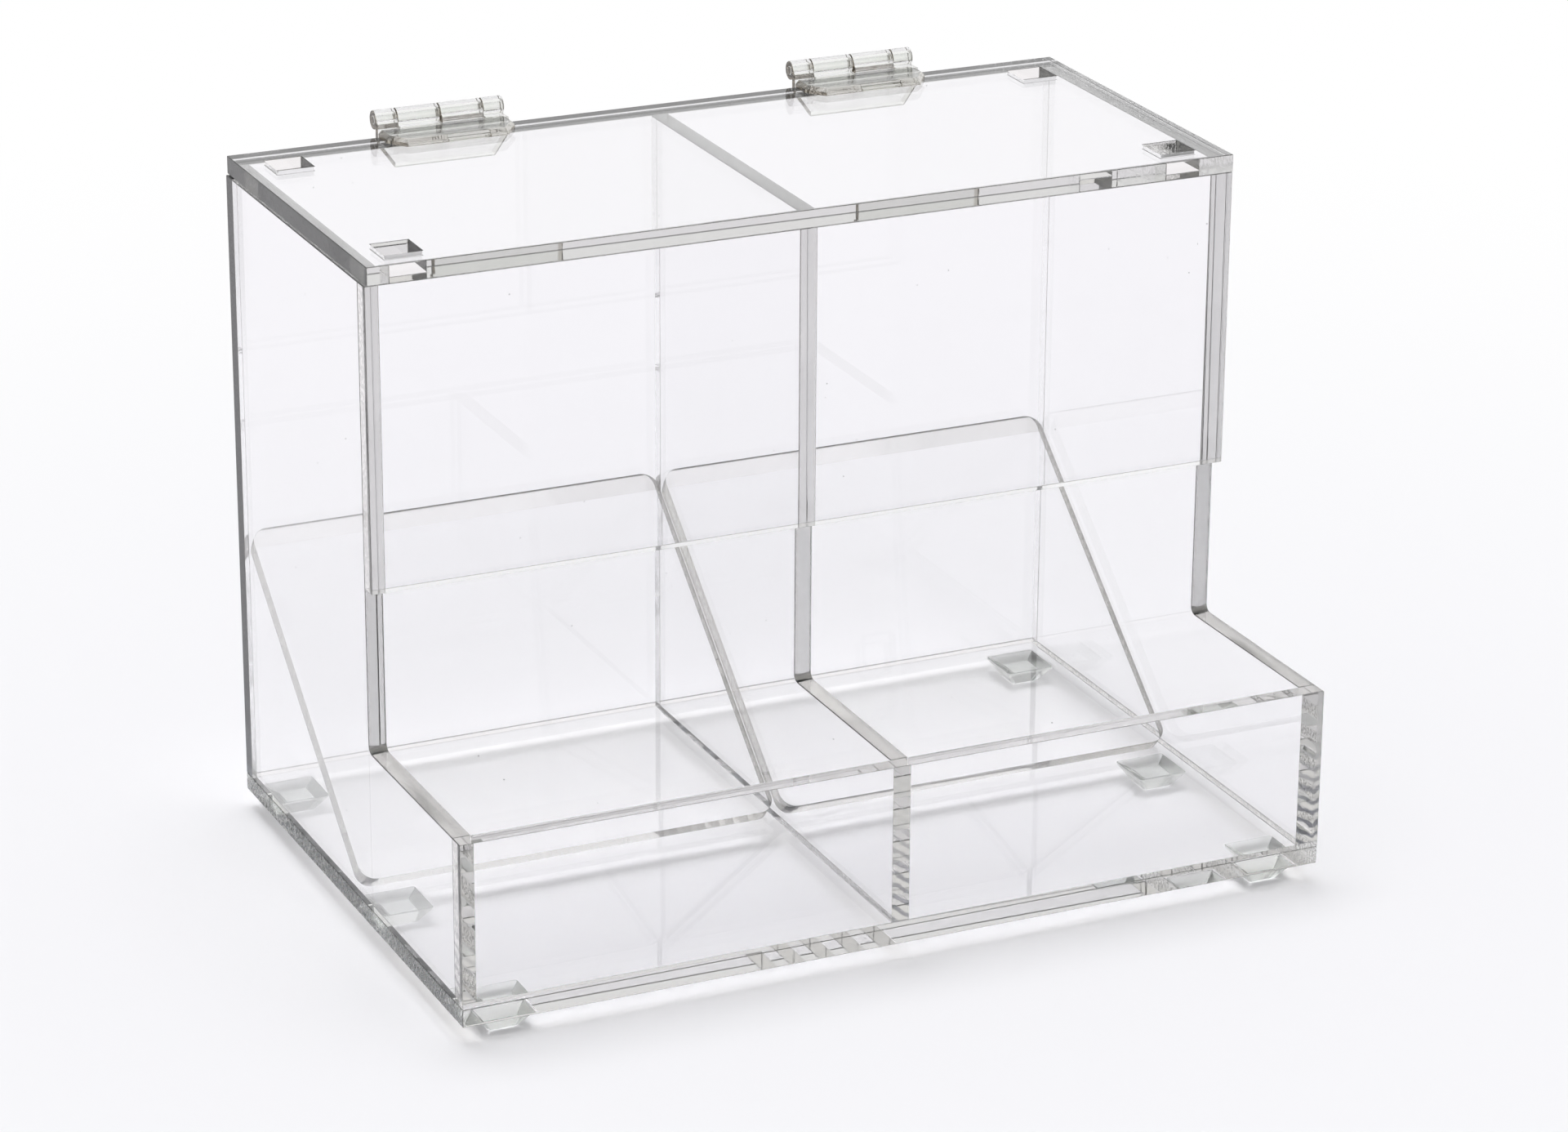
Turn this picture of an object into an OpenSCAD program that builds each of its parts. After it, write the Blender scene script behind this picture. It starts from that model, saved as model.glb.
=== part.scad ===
// Clear two-compartment display bin: a lidded tower of cemented sheets feeds two ramps and an open tray.
// Millimetres, +Z up. The front faces -Y, and the origin is under the middle of the bin, at the feet.

/* [Bin] */
// Outer width of the bin
bin_width = 300; // [240:1:400]
// Outer depth of the base plate
bin_depth = 200; // [170:1:280]
// Height of the tower walls above the base plate
wall_height = 210; // [130:1:320]
// Thickness of every sheet
sheet = 6; // [3:0.5:9]
// Thickness of the cement line between two sheets
cement_gap = 0.05; // [0.02:0.01:0.2]

/* [Tower and tray] */
// Depth of the lidded tower, over its front and back panels
tower_depth = 128; // [112:1:150]
// Height of the tray walls above the base plate
tray_height = 55; // [25:1:75]
// Height of the mouth between the tray's rim and the upper front panel
mouth_height = 55; // [25:1:90]
// Radius of the inner corner where the tray's rim meets the tower edge
step_fillet = 2.5; // [0.5:0.5:8]

/* [Ramps] */
// Slope of a ramp
ramp_angle = 40; // [35:0.5:50]
// Height of a ramp's upper face at the back panel, above the base plate
ramp_height = 89; // [50:1:120]
// Height trimmed off a ramp's toe, to seat it on the base plate
ramp_seat = 0.6; // [0.2:0.1:1.5]
// Radius of a ramp's four corners
ramp_corner = 5.5; // [1:0.5:12]
// Gap between a ramp and each wall beside it
ramp_side_gap = 0.5; // [0.2:0.1:2]

/* [Lid] */
// Distance that the lid stays inside each side of the bin
lid_side_inset = 0.5; // [0:0.1:2]
// Distance that the lid stands out past the upper front panel
lid_front_overhang = 1; // [0:0.1:5]
// Gap between the closed lid and the wall tops
lid_gap = 0.4; // [0.2:0.1:1]

/* [Stacking] */
// Distance from each side of the bin to the middle of its feet and lid sockets
stack_side_inset = 16; // [12:0.5:26]
// Distance from the back of the bin to the middle of the rear feet and sockets
stack_rear_inset = 16.5; // [12:0.5:26]
// Distance from the tower's front face to the middle of the second row of feet and sockets
stack_front_inset = 14.5; // [12:0.5:26]
// Gap around a foot's tip in the socket of a bin below
socket_clearance = 1.25; // [0.5:0.05:2]

/* [Feet] */
// Width of a foot where it meets the base plate
foot_top = 18.5; // [14:0.5:23]
// Width of a foot's tip
foot_tip = 10; // [6:0.5:12]
// Height of a foot
foot_height = 6; // [3:0.5:12]
// Distance from the front of the bin to the middle of the front feet
front_foot_inset = 11.5; // [11.5:0.5:20]

/* [Hinges] */
// Distance between the middles of the two hinges
hinge_spacing = 150; // [80:1:180]
// Length of a hinge along its pin
hinge_length = 45; // [30:1:60]
// Distance from the pin to a leaf's free edge
leaf_reach = 19.5; // [14:0.5:26]
// Thickness of a leaf
leaf_thickness = 2.5; // [1.5:0.1:4]
// Length of the leaf's cut corner, along the pin
leaf_cut_along = 5; // [1:0.5:8]
// Length of the leaf's cut corner, across the pin
leaf_cut_across = 7; // [1:0.5:8]
// Width of the bevel around a leaf's outer face
leaf_bevel = 1.2; // [0.2:0.1:2]
// Outer diameter of the barrel
barrel_d = 6.4; // [5:0.1:9]
// Gap between the barrel and the plane of each mounting face
barrel_standoff = 1.4; // [0.8:0.1:3]
// Diameter of the hinge pin
pin_d = 2.6; // [1.5:0.1:3.5]
// Gap around the pin in its knuckles
pin_clearance = 0.05; // [0.02:0.01:0.1]
// Gap between one knuckle and the next, and between a knuckle and the other leaf
knuckle_gap = 0.3; // [0.2:0.05:0.6]

/* [Hidden] */
$fn = 64;

clear_sheet = [0.94, 0.95, 0.98, 0.35];
clear_moulding = [0.93, 0.94, 0.91, 0.45];
clear_foot = [0.90, 0.93, 0.90, 0.5];

// Heights, measured from the underside of the base plate
floor_z = sheet + cement_gap;
wall_top = sheet + wall_height;
tray_top = sheet + tray_height;
mouth_top = tray_top + mouth_height;
lid_bottom = wall_top + lid_gap;
lid_top = lid_bottom + sheet;

// Depths, measured from the front of the base plate
tower_front = bin_depth - tower_depth;
tray_edge = sheet + cement_gap;
tower_edge = tower_front + sheet + cement_gap;
back_face = bin_depth - sheet - cement_gap;

// Widths
compartment = (bin_width - 3 * sheet) / 2;
compartment_middle = (sheet + compartment) / 2;
side_place = bin_width / 2 - sheet;

// A ramp's upper face runs from its toe to the back panel, and its plane goes on to the base plate
ramp_top = sheet + ramp_height;
ramp_toe_top = floor_z + sheet * cos(ramp_angle) - ramp_seat;
ramp_depth = (ramp_top - ramp_toe_top) / tan(ramp_angle);
ramp_toe = back_face - ramp_depth;
ramp_plane_end = back_face - (ramp_top - floor_z) / tan(ramp_angle);
ramp_length = ramp_depth / cos(ramp_angle);
ramp_width = compartment - 2 * ramp_side_gap;

// Feet and sockets share their rows, so that bins stack
stack_side = bin_width / 2 - stack_side_inset;
rear_row = bin_depth - stack_rear_inset;
middle_row = tower_front + stack_front_inset;
front_row = front_foot_inset;
socket = foot_tip + 2 * socket_clearance;

// Hinge pin's place, outside the corner of the lid's top and the back panel
barrel_r = barrel_d / 2;
axis_offset = barrel_r + barrel_standoff;
axis_y = bin_depth + cement_gap + axis_offset;
axis_z = lid_top + cement_gap + axis_offset;
hinge_place = hinge_spacing / 2;

// A leaf's plate stops short of the corner, where the other leaf's webs pass
plate_start = axis_offset + knuckle_gap;

// The web from a knuckle to its leaf leaves the barrel along a tangent
web_angle = 30;
web_touch = [barrel_r * sin(web_angle), -barrel_r * cos(web_angle)];
web_heel = web_touch[0] - (axis_offset + web_touch[1]) / tan(web_angle);

// Shares of the barrel's length, from its left end: the back leaf has the first and third knuckles
knuckle_shares = [1, 2, 2, 1];
knuckle_unit = hinge_length / (knuckle_shares * [1, 1, 1, 1]);
BACK_KNUCKLES = [0, 2];
LID_KNUCKLES = [1, 3];

overall_depth = axis_y + barrel_r;

// Moves a shape from the base plate's front corner frame to the part's own frame
module placed() {
    translate([0, -overall_depth / 2, foot_height]) children();
}

// A flat sheet from one corner to the other, centred across the bin
module full_width_sheet(width, y, z, depth, height) {
    translate([-width / 2, y, z]) cube([width, depth, height]);
}

// Turns an outline drawn in depth and height into a slab across the bin
module slab(width) {
    rotate([90, 0, 90]) linear_extrude(width) children();
}

// Outline of the three L-shaped panels
module l_outline() {
    polygon([[tray_edge, floor_z], [back_face, floor_z], [back_face, wall_top],
        [tower_edge, wall_top], [tower_edge, tray_top], [tray_edge, tray_top]]);
    translate([tower_edge - step_fillet, tray_top]) difference() {
        square(step_fillet);
        translate([0, step_fillet]) circle(step_fillet);
    }
}

module l_panel(x) {
    translate([x, 0, 0]) slab(sheet) l_outline();
}

// A rectangle with round corners, from the origin along +X and centred on Y
module round_rectangle(length, width, radius) {
    translate([radius, -width / 2]) square([length - 2 * radius, width]);
    translate([0, -width / 2 + radius]) square([length, width - 2 * radius]);
    for (x = [radius, length - radius], y = [-1, 1]) {
        translate([x, y * (width / 2 - radius)]) circle(radius);
    }
}

// A ramp is a sheet with a square toe, trimmed on the base plate, and a mitred end at the back panel
module ramp(x) {
    translate([x, 0, 0]) intersection() {
        translate([-compartment / 2, 0, 0]) slab(compartment) polygon([
            [ramp_plane_end, floor_z],
            [ramp_plane_end + sheet / sin(ramp_angle), floor_z],
            [back_face, ramp_top - sheet / cos(ramp_angle)],
            [back_face, ramp_top]]);
        translate([0, ramp_toe, ramp_toe_top]) rotate([ramp_angle, 0, 0]) rotate([0, 0, 90])
            translate([0, 0, -2 * sheet]) linear_extrude(3 * sheet)
                round_rectangle(ramp_length, ramp_width, ramp_corner);
    }
}

// A tapered square foot under the base plate
module foot(x, y) {
    half_top = foot_top / 2;
    half_tip = foot_tip / 2;
    taper = [[-half_tip, -foot_height], [half_tip, -foot_height],
        [half_top, -cement_gap], [-half_top, -cement_gap]];
    translate([x, y, 0]) intersection() {
        translate([-half_top, 0, 0]) slab(foot_top) polygon(taper);
        rotate([0, 0, 90]) translate([-half_top, 0, 0]) slab(foot_top) polygon(taper);
    }
}

// Distance from the barrel's left end to the start of a knuckle
function knuckle_start(k) = k == 0 ? 0 : knuckle_start(k - 1) + knuckle_shares[k - 1] * knuckle_unit;

// Runs its children as slabs along the given knuckles, with half the gap taken off at each inner end
module along_knuckles(knuckles) {
    last = len(knuckle_shares) - 1;
    trim = knuckle_gap / 2;
    for (k = knuckles) {
        low = k == 0 ? 0 : trim;
        high = k == last ? 0 : trim;
        translate([knuckle_start(k) + low - hinge_length / 2, 0, 0])
            slab(knuckle_shares[k] * knuckle_unit - low - high) children();
    }
}

// A leaf's plate: cut free corners, and a bevel along its three free sides and corners
module leaf_plate() {
    half = hinge_length / 2;
    back = leaf_reach - leaf_cut_across;
    corner_turn = atan2(leaf_cut_across, leaf_cut_along);
    difference() {
        translate([0, 0, -axis_offset]) linear_extrude(leaf_thickness) polygon([
            [-half, -plate_start], [-half, -back], [-half + leaf_cut_along, -leaf_reach],
            [half - leaf_cut_along, -leaf_reach], [half, -back], [half, -plate_start]]);
        bevel_cut([0, -leaf_reach], 0);
        for (side = [-1, 1]) {
            bevel_cut([side * half, -back], side * corner_turn);
            bevel_cut([side * half, -back], side * 90);
        }
    }
}

// Takes a slanted strip off the outer face beside an edge that runs through a point at a given turn
module bevel_cut(point, turn) {
    drop = leaf_thickness / 2;
    reach = 4 * leaf_reach + hinge_length;
    translate([point[0], point[1], leaf_thickness - axis_offset]) rotate([0, 0, turn])
        translate([-reach / 2, 0, -drop]) rotate([atan2(drop, leaf_bevel), 0, 0])
            translate([0, -reach, 0]) cube([reach, reach + leaf_bevel + drop, reach]);
}

// A whole leaf about a pin along X: its mounting face is below and its free edge towards -Y
module leaf(own_knuckles) {
    difference() {
        union() {
            leaf_plate();
            along_knuckles(own_knuckles) knuckle_outline();
        }
        rotate([0, 90, 0]) cylinder(h = 2 * hinge_length, r = pin_d / 2 + pin_clearance, center = true);
    }
}

// A knuckle with the web that carries it from the leaf
module knuckle_outline() {
    plate_top = leaf_thickness - axis_offset;
    root = plate_start + leaf_thickness;
    circle(barrel_r);
    polygon([[-root, -axis_offset], [web_heel, -axis_offset], web_touch, [0, plate_top], [-root, plate_top]]);
}

module lid_leaf(x) {
    translate([x, axis_y, axis_z]) leaf(LID_KNUCKLES);
}

module back_leaf(x) {
    translate([x, axis_y, axis_z]) mirror([0, 1, -1]) leaf(BACK_KNUCKLES);
}

module hinge_pin(x) {
    translate([x, axis_y, axis_z]) rotate([0, 90, 0]) cylinder(h = hinge_length, r = pin_d / 2, center = true);
}

module base_plate() {
    color(clear_sheet) placed() full_width_sheet(bin_width, 0, 0, bin_depth, sheet);
}

module back_panel() {
    color(clear_sheet) placed()
        full_width_sheet(bin_width, bin_depth - sheet, floor_z, sheet, wall_top - floor_z);
}

module left_side_panel() {
    color(clear_sheet) placed() l_panel(-bin_width / 2);
}

module right_side_panel() {
    color(clear_sheet) placed() l_panel(side_place);
}

module divider_panel() {
    color(clear_sheet) placed() l_panel(-sheet / 2);
}

module upper_front_panel() {
    color(clear_sheet) placed()
        full_width_sheet(bin_width, tower_front, mouth_top, sheet, wall_top - mouth_top);
}

module tray_front_panel() {
    color(clear_sheet) placed() full_width_sheet(bin_width, 0, floor_z, sheet, tray_top - floor_z);
}

module left_ramp() {
    color(clear_sheet) placed() ramp(-compartment_middle);
}

module right_ramp() {
    color(clear_sheet) placed() ramp(compartment_middle);
}

module lid() {
    lid_width = bin_width - 2 * lid_side_inset;
    lid_depth = tower_depth + lid_front_overhang;
    color(clear_sheet) placed() difference() {
        full_width_sheet(lid_width, bin_depth - lid_depth, lid_bottom, lid_depth, sheet);
        for (x = [-stack_side, stack_side], y = [middle_row, rear_row]) {
            translate([x, y, lid_bottom + sheet / 2]) cube([socket, socket, 2 * sheet], center = true);
        }
    }
}

module left_hinge_lid_leaf() {
    color(clear_moulding) placed() lid_leaf(-hinge_place);
}

module left_hinge_back_leaf() {
    color(clear_moulding) placed() back_leaf(-hinge_place);
}

module left_hinge_pin() {
    color(clear_moulding) placed() hinge_pin(-hinge_place);
}

module right_hinge_lid_leaf() {
    color(clear_moulding) placed() lid_leaf(hinge_place);
}

module right_hinge_back_leaf() {
    color(clear_moulding) placed() back_leaf(hinge_place);
}

module right_hinge_pin() {
    color(clear_moulding) placed() hinge_pin(hinge_place);
}

module front_left_foot() {
    color(clear_foot) placed() foot(-stack_side, front_row);
}

module front_right_foot() {
    color(clear_foot) placed() foot(stack_side, front_row);
}

module middle_left_foot() {
    color(clear_foot) placed() foot(-stack_side, middle_row);
}

module middle_right_foot() {
    color(clear_foot) placed() foot(stack_side, middle_row);
}

module rear_left_foot() {
    color(clear_foot) placed() foot(-stack_side, rear_row);
}

module rear_right_foot() {
    color(clear_foot) placed() foot(stack_side, rear_row);
}

base_plate();
back_panel();
left_side_panel();
right_side_panel();
divider_panel();
upper_front_panel();
tray_front_panel();
left_ramp();
right_ramp();
lid();
left_hinge_lid_leaf();
left_hinge_back_leaf();
left_hinge_pin();
right_hinge_lid_leaf();
right_hinge_back_leaf();
right_hinge_pin();
front_left_foot();
front_right_foot();
middle_left_foot();
middle_right_foot();
rear_left_foot();
rear_right_foot();
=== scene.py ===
"""Clear acrylic display bin: dresses the solids with polished sheet, sawn edges and moulded plastic."""
from collections import namedtuple
import math

import bpy
from mathutils import Matrix, Vector


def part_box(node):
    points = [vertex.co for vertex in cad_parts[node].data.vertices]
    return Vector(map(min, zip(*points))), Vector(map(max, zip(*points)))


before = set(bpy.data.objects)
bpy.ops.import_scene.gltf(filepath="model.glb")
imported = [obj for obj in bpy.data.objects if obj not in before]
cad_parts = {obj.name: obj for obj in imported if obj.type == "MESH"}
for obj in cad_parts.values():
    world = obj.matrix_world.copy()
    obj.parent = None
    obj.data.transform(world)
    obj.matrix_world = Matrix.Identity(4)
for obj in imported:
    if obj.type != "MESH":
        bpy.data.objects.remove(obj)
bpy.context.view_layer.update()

# Camera: the picture's pixels, the sensor's millimetres, metres and degrees in the part's frame
PICTURE_WIDTH = 1920
FOCAL_PIXELS = 6272.7
SENSOR_WIDTH = 36.0
CAMERA_TARGET = Vector((0.00506, 0.0, 0.09628))
CAMERA_AZIMUTH = -24.825
CAMERA_ELEVATION = 21.141
CAMERA_ROLL = 0.353
CAMERA_DISTANCE = 1.6794

# Room: levels of light, the lamp's direction and angles
ROOM_LEVEL = 0.35
FRONT_LEVEL = 0.2
CEILING_LEVEL = 0.7
LIGHT_LEVEL = 8.5
LIGHT_SHINE = 1.6
LIGHT_TILT = math.radians(8)
LIGHT_REACH = math.radians(14)
LIGHT_BLUR = math.radians(6)
LIGHT_BOUNCES = 24

# Where the room's dimmer sides begin and are full, in the y and z of a unit direction
FRONT_Y = (-0.1, -0.5)
CEILING_Y = (0.2, -0.1)
CEILING_Z = (0.5, 0.7)

# A ray has bounced so often where its count is greater
ONCE = 0.5
TWICE = 1.5

# Floor: lengths in metres, where its looks begin and are full, and colours
FLOOR_HALF = 6.0
FLOOR_DROP = 0.0003
FLOOR_FADE = (0.15, 0.9)
FLOOR_END_Y = (-0.3, -0.5)
FLOOR_GLOW = 0.15
FLOOR_ROUGHNESS = 0.9
FLOOR_COLOUR = (0.81, 0.807, 0.835, 1)
FLOOR_TINT = (0.985, 0.972, 1.0, 1)
# Painted light on the floor under the ramps: where it begins and is full, and its colour
UNDER_X = (0.15, 0.13)
UNDER_FRONT_Y = (-0.02, -0.005)
UNDER_BACK_Y = (0.11, 0.09)
UNDER_PAINTED_LIGHT_COLOUR = (0.98, 0.977, 0.995, 1)

# Sheets: lengths in metres, optics and colours
SEAM_GAP = 0.00005
SEAM_REACH = SEAM_GAP * 0.8
ARRIS = 0.0003
HINGE_ARRIS = 0.00025
FOOT_ARRIS = 0.0008
ARRIS_ANGLE = math.radians(25)
WELD_REACH = 1e-6
RAMP_ANGLE = math.radians(40)
SHEET_IOR = 1.49
SHEET_TINT = (0.1, 0.12, 0.16, 1)
SHEET_DENSITY = 2.5
BASE_DENSITY = 1.6
RAMP_DENSITY = 0.8
FACE_COLOUR = (0.991, 0.99, 0.993, 1)
EDGE_COLOUR = (0.98, 0.968, 0.945, 1)
# Painted shade on the sheets' arrises; the ramps' thin contact line uses it too
ARRIS_COLOUR = (0.15, 0.145, 0.135, 1)
# Painted shade on the strokes of air left in the cement
AIR_SHADE_COLOUR = (0.3, 0.31, 0.35, 1)
DUST_COLOUR = (0.4, 0.4, 0.4, 1)
PIT_COLOUR = (0.01, 0.012, 0.018, 1)
EDGE_ROUGHNESS = 0.03
SMEAR_ROUGHNESS = 0.015
EDGE_RELIEF = 0.025
RELIEF = 0.0003

# Mouldings: colours and how far they darken light on its way through
HINGE_TINT = (0.32, 0.27, 0.19, 1)
# Painted shade on the faces that close the hinges' knuckles
HINGE_END_SHADE = (0.3, 0.26, 0.2, 1)
HINGE_DENSITY = 20.0
FOOT_TINT = (0.3, 0.4, 0.3, 1)
FOOT_DENSITY = 12.0
FLOW_COLOUR = (0.93, 0.95, 0.92, 1)

# Patterns: how many per metre, how detailed, and the pattern's values where a mark begins and is full
COARSE = 2.0
FINE = 3.0
SAW_SCALE = 700.0
SAW_STRETCH = 0.9
SAW_MARK = (0.35, 0.75)
GRAIN_SCALE = 1000.0
PIT_SCALE = 700.0
PIT_MARK = (0.56, 0.48)
SMEAR_SCALE = 30.0
SMEAR_MARK = (0.6, 0.8)
DUST_SCALE = 60.0
DUST_MARK = (0.022, 0.012)
FLOW_SCALE = 160.0
FLOW_MARK = (0.3, 0.7)

# Strokes of air in the cement: metres, and the smaller shares of them higher up and on the left
STROKE_PITCH = 0.004
STROKE_SLANT = 0.65
STROKE_WAVER = 5.0
WAVER_SCALE = 250.0
STROKE_MARK = (0.1, 0.4)
STROKE_Z = (0.055, 0.02)
STROKE_X = (-0.15, 0.1)
SHARE_ABOVE = 0.1
SHARE_LEFT = 0.3

# How squarely a surface faces an axis where its look begins and is full
EDGE_FACING = (0.95, 0.8)
RAW_FACING = (0.5, 0.8)
ARRIS_FACING = (0.985, 0.95)
KNUCKLE_FACING = (0.3, 0.9)

# Axes of the part's frame
ACROSS = (1, 0, 0)
ALONG = (0, 1, 0)
UP = (0, 0, 1)
RAMP_SIDE = (0, -math.sin(RAMP_ANGLE), math.cos(RAMP_ANGLE))

# A sheet's unpolished edges: the way they face, their looks, and how dark their pits are
RawEdge = namedtuple("RawEdge", "side colour roughness relief pits")


def add_camera():
    """Looks at the bin from the front left and above, as the photograph does."""
    azimuth = math.radians(CAMERA_AZIMUTH)
    elevation = math.radians(CAMERA_ELEVATION)
    back = Vector((math.sin(azimuth) * math.cos(elevation),
                   -math.cos(azimuth) * math.cos(elevation),
                   math.sin(elevation)))
    right = Vector((0, 0, 1)).cross(back).normalized()
    up = back.cross(right)
    turn = Matrix((right, up, back)).transposed().to_4x4()
    roll = Matrix.Rotation(math.radians(CAMERA_ROLL), 4, "Z")
    data = bpy.data.cameras.new("camera")
    data.sensor_width = SENSOR_WIDTH
    data.lens = FOCAL_PIXELS * SENSOR_WIDTH / PICTURE_WIDTH
    camera = bpy.data.objects.new("camera", data)
    camera.matrix_world = Matrix.Translation(CAMERA_TARGET + back * CAMERA_DISTANCE) @ turn @ roll
    bpy.context.scene.collection.objects.link(camera)
    bpy.context.scene.camera = camera


class Nodes:
    """Adds nodes to one tree; numbers and sockets can be passed alike."""

    # Places of a mix node's colour sockets
    COLOUR_A = 6
    COLOUR_B = 7
    COLOUR_RESULT = 2

    def __init__(self, tree):
        self.tree = tree

    def put(self, value, socket):
        if isinstance(value, bpy.types.NodeSocket):
            self.tree.links.new(value, socket)
        else:
            socket.default_value = value

    def add(self, kind, **settings):
        node = self.tree.nodes.new(kind)
        for name, value in settings.items():
            setattr(node, name, value)
        return node

    def math(self, operation, *values):
        node = self.add("ShaderNodeMath", operation=operation)
        for value, socket in zip(values, node.inputs):
            self.put(value, socket)
        return node.outputs["Value"]

    def near(self, value, middle, half):
        return self.math("COMPARE", value, middle, half)

    def within(self, value, low, high):
        return self.near(value, (low + high) / 2, (high - low) / 2)

    def either(self, first, *others):
        for other in others:
            first = self.math("MAXIMUM", first, other)
        return first

    def both(self, first, *others):
        for other in others:
            first = self.math("MULTIPLY", first, other)
        return first

    def smooth(self, value, low, high, result_low=0.0, result_high=1.0):
        node = self.add("ShaderNodeMapRange", interpolation_type="SMOOTHSTEP")
        for item, socket in zip((value, low, high, result_low, result_high), node.inputs):
            self.put(item, socket)
        return node.outputs["Result"]

    def mix(self, factor, first, second):
        node = self.add("ShaderNodeMix", data_type="RGBA")
        self.put(factor, node.inputs["Factor"])
        self.put(first, node.inputs[self.COLOUR_A])
        self.put(second, node.inputs[self.COLOUR_B])
        return node.outputs[self.COLOUR_RESULT]

    def split(self, vector):
        node = self.add("ShaderNodeSeparateXYZ")
        self.put(vector, node.inputs["Vector"])
        return node.outputs


def grey(level):
    return (level, level, level, 1)


def add_world():
    """A white room with a soft lamp overhead.

    The lamp's mirror image is dimmer than its light, and so is what a sheet's inside mirrors of the
    camera's side.
    """
    world = bpy.data.worlds.new("studio")
    bpy.context.scene.world = world
    world.use_nodes = True
    nodes = Nodes(world.node_tree)
    path = nodes.add("ShaderNodeLightPath").outputs
    direction = nodes.add("ShaderNodeTexCoord").outputs["Generated"]
    _, y, z = nodes.split(direction)
    front = nodes.smooth(y, *FRONT_Y)
    mirrored = nodes.math("GREATER_THAN", path["Glossy Depth"], TWICE)
    lights = nodes.math("GREATER_THAN", path["Diffuse Depth"], ONCE)
    ceiling = nodes.both(nodes.smooth(z, *CEILING_Z), nodes.smooth(y, *CEILING_Y))
    room = nodes.mix(ceiling, grey(1.0), grey(CEILING_LEVEL))
    room = nodes.mix(nodes.both(front, mirrored), room, grey(FRONT_LEVEL))
    room = nodes.mix(lights, room, grey(ROOM_LEVEL))
    toward = nodes.add("ShaderNodeVectorMath", operation="DOT_PRODUCT")
    nodes.put(direction, toward.inputs[0])
    toward.inputs[1].default_value = (0, math.sin(LIGHT_TILT), math.cos(LIGHT_TILT))
    rim = math.cos(LIGHT_REACH + LIGHT_BLUR)
    lamp = nodes.smooth(toward.outputs["Value"], rim, math.cos(LIGHT_REACH))
    seen = nodes.either(path["Is Glossy Ray"], path["Is Transmission Ray"])
    shines = nodes.both(seen, nodes.math("GREATER_THAN", path["Glossy Depth"], ONCE),
                        nodes.math("LESS_THAN", path["Diffuse Depth"], ONCE))
    room = nodes.mix(lamp, room, nodes.mix(shines, grey(LIGHT_LEVEL), grey(LIGHT_SHINE)))
    background = world.node_tree.nodes["Background"]
    nodes.put(nodes.mix(path["Is Camera Ray"], room, grey(1.0)), background.inputs["Color"])


def add_floor():
    """A pale table, made paler under the ramps by painted light.

    Shadows fall on it near the bin, further off it goes white, and it ends towards the camera.
    """
    mesh = bpy.data.meshes.new("floor")
    half = FLOOR_HALF
    corners = [(-half, -half), (half, -half), (half, half), (-half, half)]
    mesh.from_pydata([(x, y, -FLOOR_DROP) for x, y in corners], [], [(0, 1, 2, 3)])
    floor = bpy.data.objects.new("floor", mesh)
    bpy.context.scene.collection.objects.link(floor)
    material = bpy.data.materials.new("floor")
    material.use_nodes = True
    tree = material.node_tree
    nodes = Nodes(tree)
    path = nodes.add("ShaderNodeLightPath").outputs
    place = nodes.add("ShaderNodeTexCoord").outputs["Object"]
    x, y, _ = nodes.split(place)
    distance = nodes.add("ShaderNodeVectorMath", operation="LENGTH")
    nodes.put(place, distance.inputs[0])
    far = nodes.smooth(distance.outputs["Value"], *FLOOR_FADE, FLOOR_GLOW, 1.0)
    end = nodes.both(nodes.smooth(y, *FLOOR_END_Y), nodes.math("GREATER_THAN", path["Glossy Depth"], TWICE))
    shader = tree.nodes["Principled BSDF"]
    # Painted light: the floor's colour is made paler under the ramps
    under = nodes.both(nodes.smooth(nodes.math("ABSOLUTE", x), *UNDER_X),
                       nodes.smooth(y, *UNDER_FRONT_Y),
                       nodes.smooth(y, *UNDER_BACK_Y))
    nodes.put(nodes.mix(under, FLOOR_COLOUR, UNDER_PAINTED_LIGHT_COLOUR), shader.inputs["Base Color"])
    shader.inputs["Roughness"].default_value = FLOOR_ROUGHNESS
    glow = nodes.add("ShaderNodeEmission")
    white = nodes.mix(path["Is Camera Ray"], FLOOR_TINT, grey(1.0))
    nodes.put(nodes.mix(end, white, grey(FRONT_LEVEL)), glow.inputs["Color"])
    mix = nodes.add("ShaderNodeMixShader")
    nodes.put(nodes.either(far, end), mix.inputs["Fac"])
    nodes.put(shader.outputs["BSDF"], mix.inputs[1])
    nodes.put(glow.outputs["Emission"], mix.inputs[2])
    nodes.put(mix.outputs["Shader"], tree.nodes["Material Output"].inputs["Surface"])
    mesh.materials.append(material)


def air_strokes(nodes, place):
    """Slanted strokes of air that the cement left, more of them lower down and to the right."""
    x, _, z = nodes.split(place)
    waver = nodes.math("MULTIPLY", noise(nodes, place, WAVER_SCALE, COARSE), STROKE_WAVER)
    run = nodes.math("MULTIPLY_ADD", x, STROKE_SLANT, z)
    phase = nodes.math("MULTIPLY_ADD", run, 2 * math.pi / STROKE_PITCH, waver)
    share = nodes.both(nodes.smooth(z, *STROKE_Z, SHARE_ABOVE, 1.0),
                       nodes.smooth(x, *STROKE_X, SHARE_LEFT, 1.0))
    strokes = nodes.smooth(nodes.math("SINE", phase), *STROKE_MARK)
    return nodes.both(strokes, share)


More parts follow.
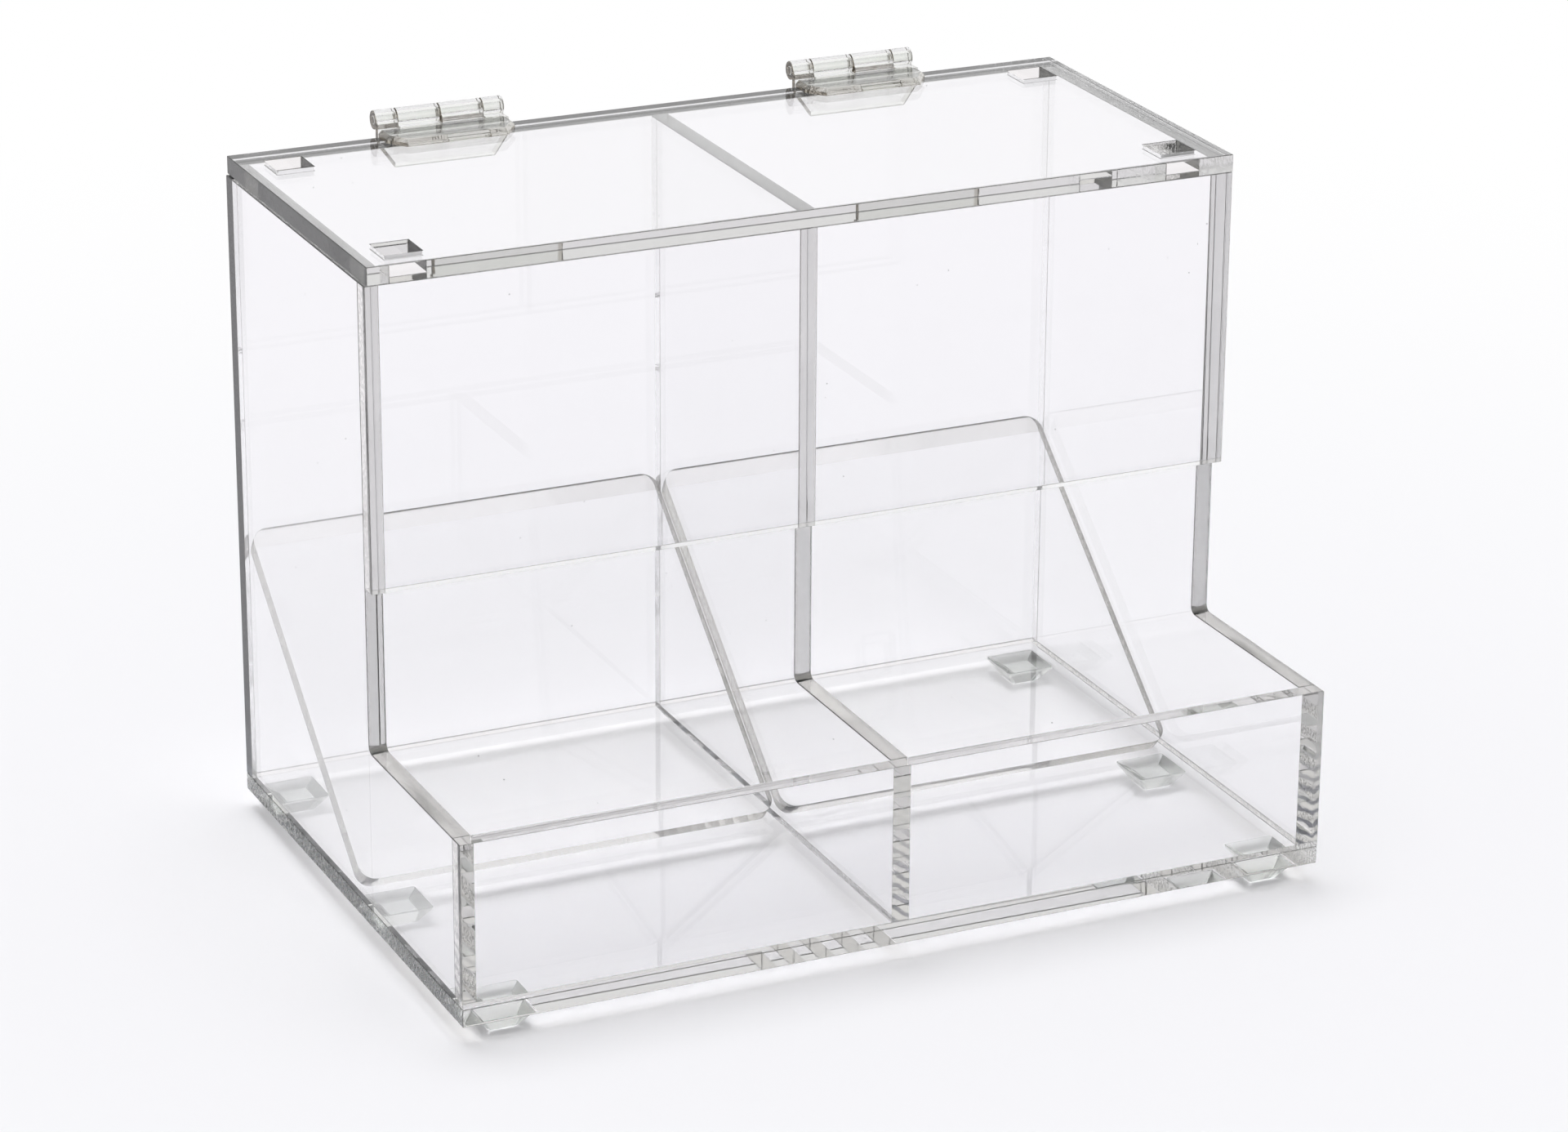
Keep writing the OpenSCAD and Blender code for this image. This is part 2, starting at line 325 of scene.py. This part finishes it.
def seams(nodes):
    """Two masks of the cemented faces: joined, where light passes on unbent, and air left there."""
    place = nodes.add("ShaderNodeTexCoord").outputs["Object"]
    x, y, z = nodes.split(place)
    span = nodes.math("ABSOLUTE", x)
    base_seam = nodes.near(z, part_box("base_plate")[1][2] + SEAM_GAP / 2, SEAM_REACH)
    foot_seam = nodes.near(z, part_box("base_plate")[0][2] - SEAM_GAP / 2, SEAM_REACH)
    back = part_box("back_panel")[0][1] - SEAM_GAP / 2
    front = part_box("upper_front_panel")[1][1] + SEAM_GAP / 2
    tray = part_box("tray_front_panel")[1][1] + SEAM_GAP / 2
    walls = nodes.either(nodes.math("GREATER_THAN", span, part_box("right_side_panel")[0][0]),
                         nodes.math("LESS_THAN", span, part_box("divider_panel")[1][0]))
    ends = nodes.either(nodes.math("GREATER_THAN", y, back), nodes.math("LESS_THAN", y, tray))
    rows = []
    for name in ("front", "middle", "rear"):
        low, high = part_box(name + "_right_foot")
        rows.append(nodes.within(y, low[1], high[1]))
    column = nodes.within(span, low[0], high[0])
    on_base = nodes.both(base_seam, nodes.either(walls, ends))
    on_wall = nodes.both(nodes.near(y, front, SEAM_REACH), walls)
    on_tray = nodes.both(nodes.near(y, tray, SEAM_REACH), walls)
    on_foot = nodes.both(foot_seam, column, nodes.either(*rows))
    air = nodes.both(on_tray, air_strokes(nodes, place))
    return nodes.math("SUBTRACT", nodes.either(on_base, on_wall, on_tray, on_foot), air), air


def clear_plastic(name, tint, density):
    """A clear plastic that darkens light by the length of its way, with its node builder and shader."""
    material = bpy.data.materials.new(name)
    material.use_nodes = True
    tree = material.node_tree
    nodes = Nodes(tree)
    shader = tree.nodes["Principled BSDF"]
    shader.inputs["Transmission Weight"].default_value = 1.0
    shader.inputs["IOR"].default_value = SHEET_IOR
    absorption = nodes.add("ShaderNodeVolumeAbsorption")
    absorption.inputs["Color"].default_value = tint
    absorption.inputs["Density"].default_value = density
    nodes.put(absorption.outputs["Volume"], tree.nodes["Material Output"].inputs["Volume"])
    return material, nodes, shader


def noise(nodes, vector, scale, detail):
    node = nodes.add("ShaderNodeTexNoise")
    nodes.put(vector, node.inputs["Vector"])
    node.inputs["Scale"].default_value = scale
    node.inputs["Detail"].default_value = detail
    return node.outputs["Fac"]


def turned(nodes, axis):
    """How squarely the surface faces along the axis, 0 to 1."""
    side = nodes.add("ShaderNodeVectorMath", operation="DOT_PRODUCT")
    nodes.put(nodes.add("ShaderNodeTexCoord").outputs["Normal"], side.inputs[0])
    side.inputs[1].default_value = axis
    return nodes.math("ABSOLUTE", side.outputs["Value"])


def arris_shade(nodes, across, raw_side):
    """1 on the small slopes that break a sheet's sharp edges, where a dark outline is painted as shade."""
    axes = (across, Vector(across).cross(raw_side), ACROSS, ALONG, UP)
    square = nodes.either(*(turned(nodes, axis) for axis in axes))
    return nodes.smooth(square, *ARRIS_FACING)


def saw_marks(nodes, place, across):
    """Fine marks that run from face to face on a cut edge."""
    depth = nodes.add("ShaderNodeVectorMath", operation="DOT_PRODUCT")
    nodes.put(place, depth.inputs[0])
    depth.inputs[1].default_value = across
    back = nodes.add("ShaderNodeVectorMath", operation="SCALE")
    back.inputs[0].default_value = across
    nodes.put(nodes.math("MULTIPLY", depth.outputs["Value"], -SAW_STRETCH), back.inputs["Scale"])
    flat = nodes.add("ShaderNodeVectorMath", operation="ADD")
    nodes.put(place, flat.inputs[0])
    nodes.put(back.outputs["Vector"], flat.inputs[1])
    return noise(nodes, flat.outputs["Vector"], SAW_SCALE, FINE)


def dust(nodes, place):
    """1 on a few small specks."""
    speck = nodes.add("ShaderNodeTexVoronoi")
    nodes.put(place, speck.inputs["Vector"])
    speck.inputs["Scale"].default_value = DUST_SCALE
    return nodes.smooth(speck.outputs["Distance"], *DUST_MARK)


def blend(nodes, factor, first, second):
    """The first number where the factor is 0, the second where it is 1."""
    node = nodes.add("ShaderNodeMix")
    for value, socket in zip((factor, first, second), ("Factor", "A", "B")):
        nodes.put(value, node.inputs[socket])
    return node.outputs["Result"]


def emboss(nodes, shader, strength, distance, height):
    """Raises the surface's shading by a pattern's height."""
    bump = nodes.add("ShaderNodeBump")
    nodes.put(strength, bump.inputs["Strength"])
    nodes.put(distance, bump.inputs["Distance"])
    nodes.put(height, bump.inputs["Height"])
    nodes.put(bump.outputs["Normal"], shader.inputs["Normal"])


def bend_light(nodes, shader, joined):
    """Bends light as plastic does, but not at the joined faces."""
    nodes.put(nodes.math("MULTIPLY_ADD", joined, 1.0 - SHEET_IOR, SHEET_IOR), shader.inputs["IOR"])


def acrylic(name, across, raw_edge, density=SHEET_DENSITY, cemented=True, raw_joined=False, top=None):
    """Sheet with polished faces and edges, but for its raw edges; across points through the sheet.

    Its cemented faces pass light on unbent, and with raw_joined its raw edges do too. With top, a thin
    dark line of contact runs just below that height.
    """
    material, nodes, shader = clear_plastic(name, SHEET_TINT, density)
    place = nodes.add("ShaderNodeTexCoord").outputs["Object"]
    edge = nodes.smooth(turned(nodes, across), *EDGE_FACING)
    raw = nodes.smooth(turned(nodes, raw_edge.side), *RAW_FACING)
    texture = blend(nodes, raw, saw_marks(nodes, place, across), noise(nodes, place, GRAIN_SCALE, FINE))
    smear = nodes.smooth(noise(nodes, place, SMEAR_SCALE, COARSE), *SMEAR_MARK, 0.0, SMEAR_ROUGHNESS)
    sawn = nodes.smooth(texture, *SAW_MARK, 0.0, EDGE_ROUGHNESS)
    pit = nodes.smooth(noise(nodes, place, PIT_SCALE, COARSE), *PIT_MARK)
    torn = nodes.math("MULTIPLY_ADD", pit, -raw_edge.roughness, raw_edge.roughness)
    nodes.put(blend(nodes, edge, smear, blend(nodes, raw, sawn, torn)), shader.inputs["Roughness"])
    raw_colour = nodes.mix(nodes.math("MULTIPLY", pit, raw_edge.pits), raw_edge.colour, PIT_COLOUR)
    colour = nodes.mix(edge, FACE_COLOUR, nodes.mix(raw, EDGE_COLOUR, raw_colour))
    # Painted shade: the arrises are coloured dark
    colour = nodes.mix(arris_shade(nodes, across, raw_edge.side), colour, ARRIS_COLOUR)
    colour = nodes.mix(dust(nodes, place), colour, DUST_COLOUR)
    if top is not None:
        line = nodes.smooth(nodes.split(place)["Z"], top - 2 * ARRIS, top - ARRIS)
        colour = nodes.mix(line, colour, ARRIS_COLOUR)
    if cemented:
        joined, air = seams(nodes)
        if raw_joined:
            joined = nodes.either(joined, raw)
        # The air strokes are coloured dark: painted shade on the air left in the cement
        colour = nodes.mix(air, colour, AIR_SHADE_COLOUR)
        bend_light(nodes, shader, joined)
    nodes.put(colour, shader.inputs["Base Color"])
    strength = nodes.both(edge, blend(nodes, raw, EDGE_RELIEF, raw_edge.relief))
    emboss(nodes, shader, strength, RELIEF, texture)
    return material


def moulding(name, tint, density, clarity, roughness, relief, cemented=False, ends=None):
    """Moulded clear plastic with a faint flow pattern; ends, if given, paints shade on the faces that close
    a knuckle.
    """
    material, nodes, shader = clear_plastic(name, tint, density)
    shader.inputs["Transmission Weight"].default_value = clarity
    place = nodes.add("ShaderNodeTexCoord").outputs["Object"]
    flow = noise(nodes, place, FLOW_SCALE, COARSE)
    colour = nodes.mix(flow, grey(1.0), FLOW_COLOUR)
    if ends is not None:
        # Painted shade: the faces that close a knuckle are coloured darker
        closing_shade = nodes.smooth(turned(nodes, ACROSS), *KNUCKLE_FACING)
        colour = nodes.mix(closing_shade, colour, ends)
    nodes.put(colour, shader.inputs["Base Color"])
    nodes.put(nodes.smooth(flow, *FLOW_MARK, roughness / 2, roughness), shader.inputs["Roughness"])
    emboss(nodes, shader, relief, RELIEF, flow)
    if cemented:
        bend_light(nodes, shader, seams(nodes)[0])
    return material


def dress(names, material):
    """Gives the named solids one material."""
    for name in names:
        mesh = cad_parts[name].data
        mesh.materials.clear()
        mesh.materials.append(material)


def round_arrises(names, width):
    """Takes the sharpness off edges."""
    for name in names:
        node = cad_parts[name]
        weld = node.modifiers.new("weld", "WELD")
        weld.merge_threshold = WELD_REACH
        arris = node.modifiers.new("arris", "BEVEL")
        arris.width = width
        arris.segments = 2
        arris.limit_method = "ANGLE"
        arris.angle_limit = ARRIS_ANGLE
        arris.harden_normals = True


def smooth_barrels(names):
    """Shades the hinges' round knuckles without facets."""
    for name in names:
        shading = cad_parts[name].modifiers.new("shading", "WEIGHTED_NORMAL")
        shading.mode = "FACE_AREA_WITH_ANGLE"


scene = bpy.context.scene
scene.view_settings.view_transform = "Standard"
scene.cycles.blur_glossy = 0.0
scene.cycles.max_bounces = LIGHT_BOUNCES
scene.cycles.transmission_bounces = LIGHT_BOUNCES
scene.cycles.glossy_bounces = LIGHT_BOUNCES
add_camera()
add_world()
add_floor()

fronts = ["upper_front_panel", "tray_front_panel"]
lengthwise = ["left_side_panel", "right_side_panel", "divider_panel"]
ramps = ["left_ramp", "right_ramp"]
hinges = [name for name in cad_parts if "_hinge_" in name]
feet = [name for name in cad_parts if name.endswith("_foot")]
sawn_base = RawEdge(side=ACROSS, colour=(0.9, 0.9, 0.89, 1), roughness=0.6, relief=0.5, pits=0.1)
# The lid's and the back panel's raw edges are coloured dark: painted shade on sawn edges
sawn_lid_painted_shade = RawEdge(side=ACROSS, colour=(0.2, 0.2, 0.18, 1), roughness=0.25, relief=0.05, pits=0.6)
sawn_back_painted_shade = RawEdge(side=ACROSS, colour=(0.06, 0.075, 0.1, 1), roughness=0.06, relief=0.05, pits=0.8)
sawn_fronts = RawEdge(side=ACROSS, colour=(0.85, 0.84, 0.82, 1), roughness=0.1, relief=0.1, pits=0.3)
sawn_tops = RawEdge(side=UP, colour=(0.96, 0.94, 0.89, 1), roughness=0.2, relief=0.15, pits=0.1)
sawn_ramps = RawEdge(side=ACROSS, colour=(0.35, 0.34, 0.31, 1), roughness=0.02, relief=0.03, pits=0.3)
dress(["base_plate"], acrylic("acrylic_base", UP, sawn_base, density=BASE_DENSITY))
dress(["lid"], acrylic("acrylic_lid", UP, sawn_lid_painted_shade, cemented=False))
dress(["back_panel"], acrylic("acrylic_back", ALONG, sawn_back_painted_shade))
dress(fronts, acrylic("acrylic_fronts", ALONG, sawn_fronts))
dress(lengthwise, acrylic("acrylic_lengthwise", ACROSS, sawn_tops))
dress(ramps, acrylic("acrylic_ramp", RAMP_SIDE, sawn_ramps, density=RAMP_DENSITY, raw_joined=True,
                     top=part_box("left_ramp")[1][2]))
dress(hinges, moulding("hinge_plastic", HINGE_TINT, HINGE_DENSITY, clarity=1.0, roughness=0.01, relief=0.01,
                       ends=HINGE_END_SHADE))
dress(feet, moulding("foot_plastic", FOOT_TINT, FOOT_DENSITY, clarity=0.9, roughness=0.2, relief=0.02,
                     cemented=True))
round_arrises(["base_plate", "lid", "back_panel"] + fronts + lengthwise + ramps, ARRIS)
round_arrises(hinges, HINGE_ARRIS)
smooth_barrels(hinges)
round_arrises(feet, FOOT_ARRIS)
